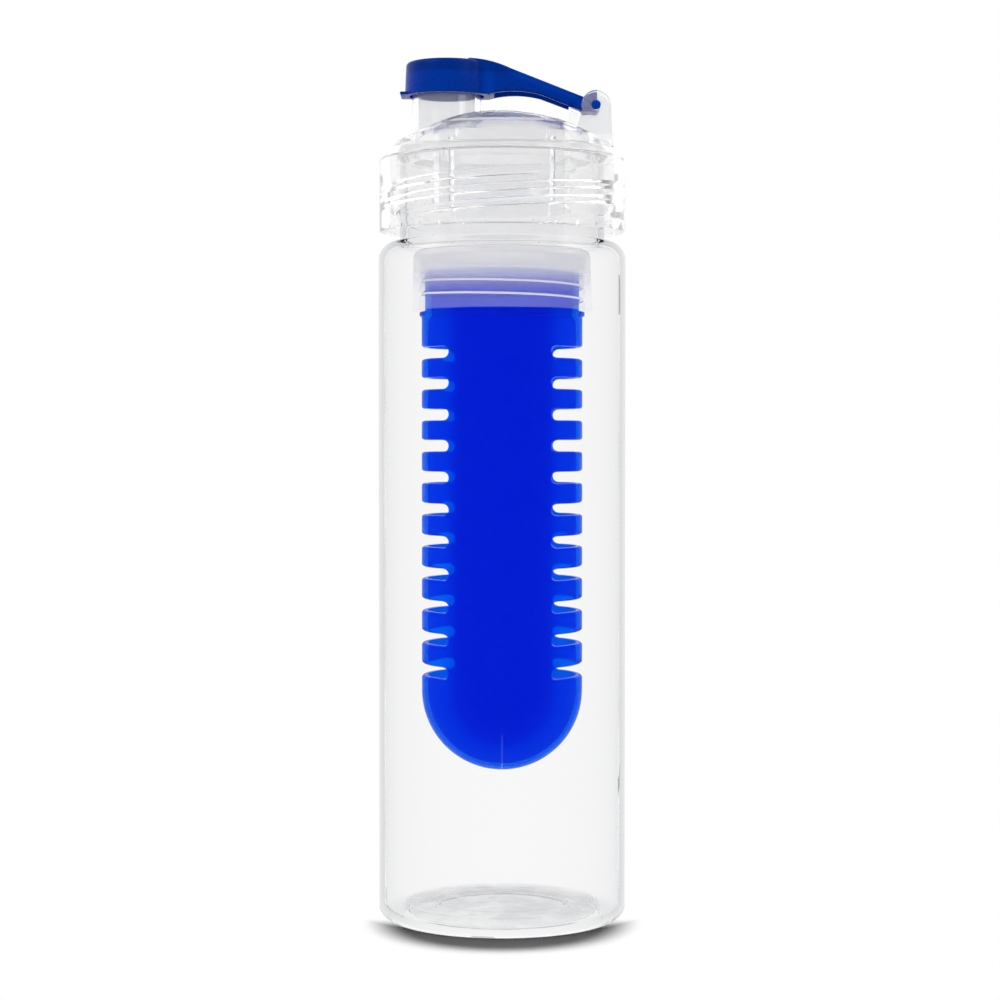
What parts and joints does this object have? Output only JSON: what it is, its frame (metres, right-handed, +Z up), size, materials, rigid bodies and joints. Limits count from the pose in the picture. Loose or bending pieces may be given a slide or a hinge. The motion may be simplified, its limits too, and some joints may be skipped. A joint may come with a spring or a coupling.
{
  "type": "fruit infuser water bottle",
  "caption": "Clear round water bottle with a clear screw lid, a blue flip cap over the spout and a blue slotted infuser basket hung inside the bottle on a frosted collar.",
  "frame": {"origin": "centre of the bottle's foot, on the surface it stands on", "axes": "+Z up along the bottle's axis; -X towards the spout and thumb tab, +X towards the flip cap's hinge"},
  "size_m": [0.073, 0.073, 0.2537],
  "materials": {
    "clear_bottle": "clear, polished copolyester",
    "silicone": "milky silicone",
    "clear_lid": "clear, polished plastic",
    "cap_blue": "translucent blue polypropylene, satin",
    "frosted_collar": "milky natural polypropylene",
    "basket_blue": "transparent vivid blue plastic, polished"
  },
  "bodies": {
    "bottle": {"bottle_body": "clear_bottle"},
    "seal": {"lid_gasket": "silicone"},
    "lid": {"lid_shell": "clear_lid"},
    "cap": {"flip_cap": "cap_blue"},
    "collar": {"infuser_collar": "frosted_collar"},
    "basket": {"infuser_basket": "basket_blue"}
  },
  "joints": [
    {"name": "lid_lift", "type": "slide", "parent": "bottle", "child": "seal", "axis": [0, 0, 1], "range_m": [0, 0.19]},
    {"name": "lid_turn", "type": "hinge", "parent": "seal", "child": "lid", "pos_m": [0, 0, 0.2261], "axis": [0, 0, 1], "range_deg": [0, 360]},
    {"name": "flip_cap_hinge", "type": "hinge", "parent": "lid", "child": "cap", "pos_m": [0.0275, 0, 0.2397], "axis": [0, 1, 0], "range_deg": [0, 170]},
    {"name": "collar_release", "type": "slide", "parent": "lid", "child": "collar", "axis": [0, 0, -1], "range_m": [0, 0.0165]},
    {"name": "basket_release", "type": "slide", "parent": "collar", "child": "basket", "axis": [0, 0, -1], "range_m": [0, 0.0125]}
  ]
}
